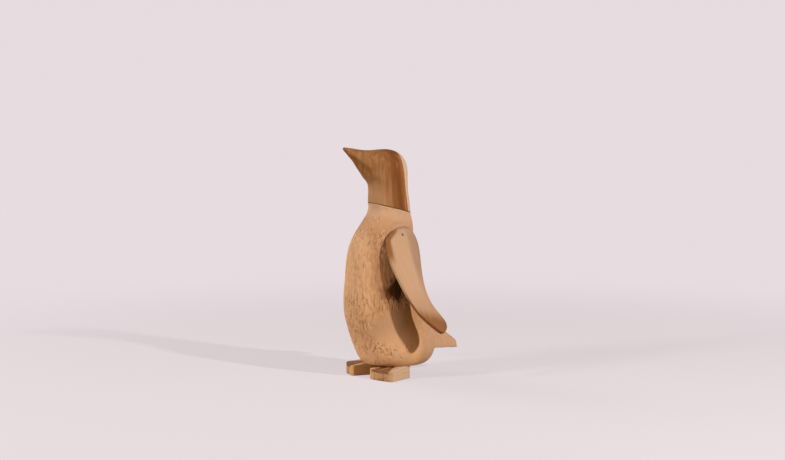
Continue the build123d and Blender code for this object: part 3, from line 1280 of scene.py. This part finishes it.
@dataclass
class Studio:
    """A pale floor, soft lamps and the camera."""

    azimuth: float = 62.0
    elevation: float = 5.0
    distance: float = 2400.0 * MM
    aim_right: float = -9.5 * MM
    aim_up: float = 187.5 * MM
    pixel: float = 1.29 * MM
    image_width: int = 785
    sensor: float = 36.0
    floor_radius: float = 9.0
    floor_sides: int = 96
    floor_fade: Span = (0.35, 1.2)
    wall: Tone = (0.800, 0.715, 0.745)
    table: Tone = (0.740, 0.662, 0.690)
    floor: Tone = (0.700, 0.655, 0.670)
    bounce: Tone = (0.470, 0.350, 0.225)
    shade: Tone = (0.070, 0.048, 0.028)
    glow_share: float = 0.75
    lamps: Sequence[Lamp] = (
        Lamp("right_lamp", turn=48.0, rise=29.0, far=2.2, size=0.10, level=1.14, tone=(1.0, 0.97, 0.93)),
        Lamp("left_lamp", turn=-59.0, rise=26.0, far=2.2, size=0.40, level=0.78, tone=(1.0, 0.98, 0.96)),
        Lamp("side_lamp", turn=-126.0, rise=32.0, far=2.4, size=1.20, level=0.40, tone=(1.0, 0.98, 0.96)),
    )

    def build(self) -> None:
        """Sets the whole stage."""
        bpy.context.scene.view_settings.view_transform = "Standard"
        self.add_camera()
        self.add_world()
        self.add_floor()
        for lamp in self.lamps:
            self.add_lamp(lamp)

    @staticmethod
    def direction(azimuth: float, elevation: float) -> Vector:
        """The unit vector from the figure to a point round it, by its angles in degrees."""
        (sine, cosine), (rise, flat) = sine_cosine(azimuth), sine_cosine(elevation)
        return Vector((sine * flat, -cosine * flat, rise))

    def add_camera(self) -> None:
        """Puts the camera at the photograph's viewing angle."""
        data = bpy.data.cameras.new("camera")
        data.sensor_width = self.sensor
        data.lens = self.distance / self.pixel * self.sensor / self.image_width
        camera = bpy.data.objects.new("camera", data)
        bpy.context.scene.collection.objects.link(camera)
        back = self.direction(self.azimuth, self.elevation)
        right = self.direction(self.azimuth + QUARTER_TURN, 0.0)
        camera.location = right * self.aim_right + Vector((0.0, 0.0, self.aim_up)) + back * self.distance
        camera.rotation_euler = back.to_track_quat("Z", "Y").to_euler()
        bpy.context.scene.camera = camera

    def add_lamp(self, lamp: Lamp) -> None:
        """Adds a lamp that points at the figure.

        Args:
            lamp: The lamp, whose level is the brightness of white that faces it.
        """
        data = bpy.data.lights.new(lamp.name, "AREA")
        data.shape = "DISK"
        data.size = lamp.size
        data.color = lamp.tone
        data.energy = lamp.level * (math.pi * lamp.far) ** 2
        made = bpy.data.objects.new(lamp.name, data)
        bpy.context.scene.collection.objects.link(made)
        towards = self.direction(self.azimuth + lamp.turn, lamp.rise)
        made.location = towards * lamp.far + Vector((0.0, 0.0, self.aim_up / 2))
        made.rotation_euler = towards.to_track_quat("Z", "Y").to_euler()

    @staticmethod
    def seen(graph: Graph) -> Value:
        """Tells what is seen from the light that falls on things.

        Args:
            graph: Tree that the nodes go into.

        Returns:
            1 where the camera, a mirror or glass looks, and 0 for other light.
        """
        rays = graph.node("ShaderNodeLightPath", {}, {}, "Is Camera Ray")
        outputs = rays.socket.node.outputs
        glossy = Value(graph, outputs["Is Glossy Ray"])
        through = Value(graph, outputs["Is Transmission Ray"])
        return rays.larger(glossy).larger(through)

    def add_world(self) -> None:
        """Adds even light all round, and the pale wall that is seen."""
        world = bpy.data.worlds.new("studio")
        world.use_nodes = True
        bpy.context.scene.world = world
        graph = Graph(world.node_tree)
        colour = self.seen(graph).paint(self.shade, self.wall)
        shader = graph.node("ShaderNodeBackground", {}, {"Color": colour, "Strength": 1.0})
        graph.node("ShaderNodeOutputWorld", {}, {"Surface": shader})

    def add_floor(self) -> None:
        """Adds a round floor that fades into the wall."""
        disc = bmesh.new()
        bmesh.ops.create_circle(disc, cap_ends=True, segments=self.floor_sides, radius=self.floor_radius)
        mesh = bpy.data.meshes.new("floor")
        disc.to_mesh(mesh)
        disc.free()
        floor = bpy.data.objects.new("floor", mesh)
        bpy.context.scene.collection.objects.link(floor)
        material = bpy.data.materials.new("floor")
        material.use_nodes = True
        graph = Graph(material.node_tree)
        reach = graph.vector("LENGTH", graph.place(), output="Value")
        seen = self.seen(graph)
        matte = graph.node("ShaderNodeBsdfDiffuse", {}, {"Color": seen.paint(self.bounce, self.floor)})
        distant = reach.ease(*self.floor_fade)
        shine = {"Color": distant.paint(self.table, self.wall), "Strength": 1.0}
        glow = graph.node("ShaderNodeEmission", {}, shine)
        fade = distant.lifted(self.glow_share) * seen
        both = graph.node("ShaderNodeMixShader", {}, {0: fade, 1: matte, 2: glow})
        graph.node("ShaderNodeOutputMaterial", {}, {"Surface": both})
        mesh.materials.append(material)


def main() -> None:
    """Builds the figure and its studio."""
    logging.basicConfig(level=logging.INFO, format="%(name)s %(message)s")
    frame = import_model()
    nodes = frame["nodes"]
    hinges = {hinge["child"]: hinge for hinge in frame["joints"]}
    seats = {}
    for side in Side:
        hinge = hinges[f"{side.word}_flipper_body"]
        outward = tuple(side.value * part for part in hinge["axis"])
        seats[side] = Seat(tuple(hinge["pos_m"]), outward)
    Studio().build()
    Trunk(nodes, list(seats.values())).build()
    Head(nodes).build()
    for side in Side:
        Flipper(nodes, side, seats[side]).build()
        Foot(nodes, side).build()
    Fixings(nodes).build()


if __name__ == "__main__":
    main()
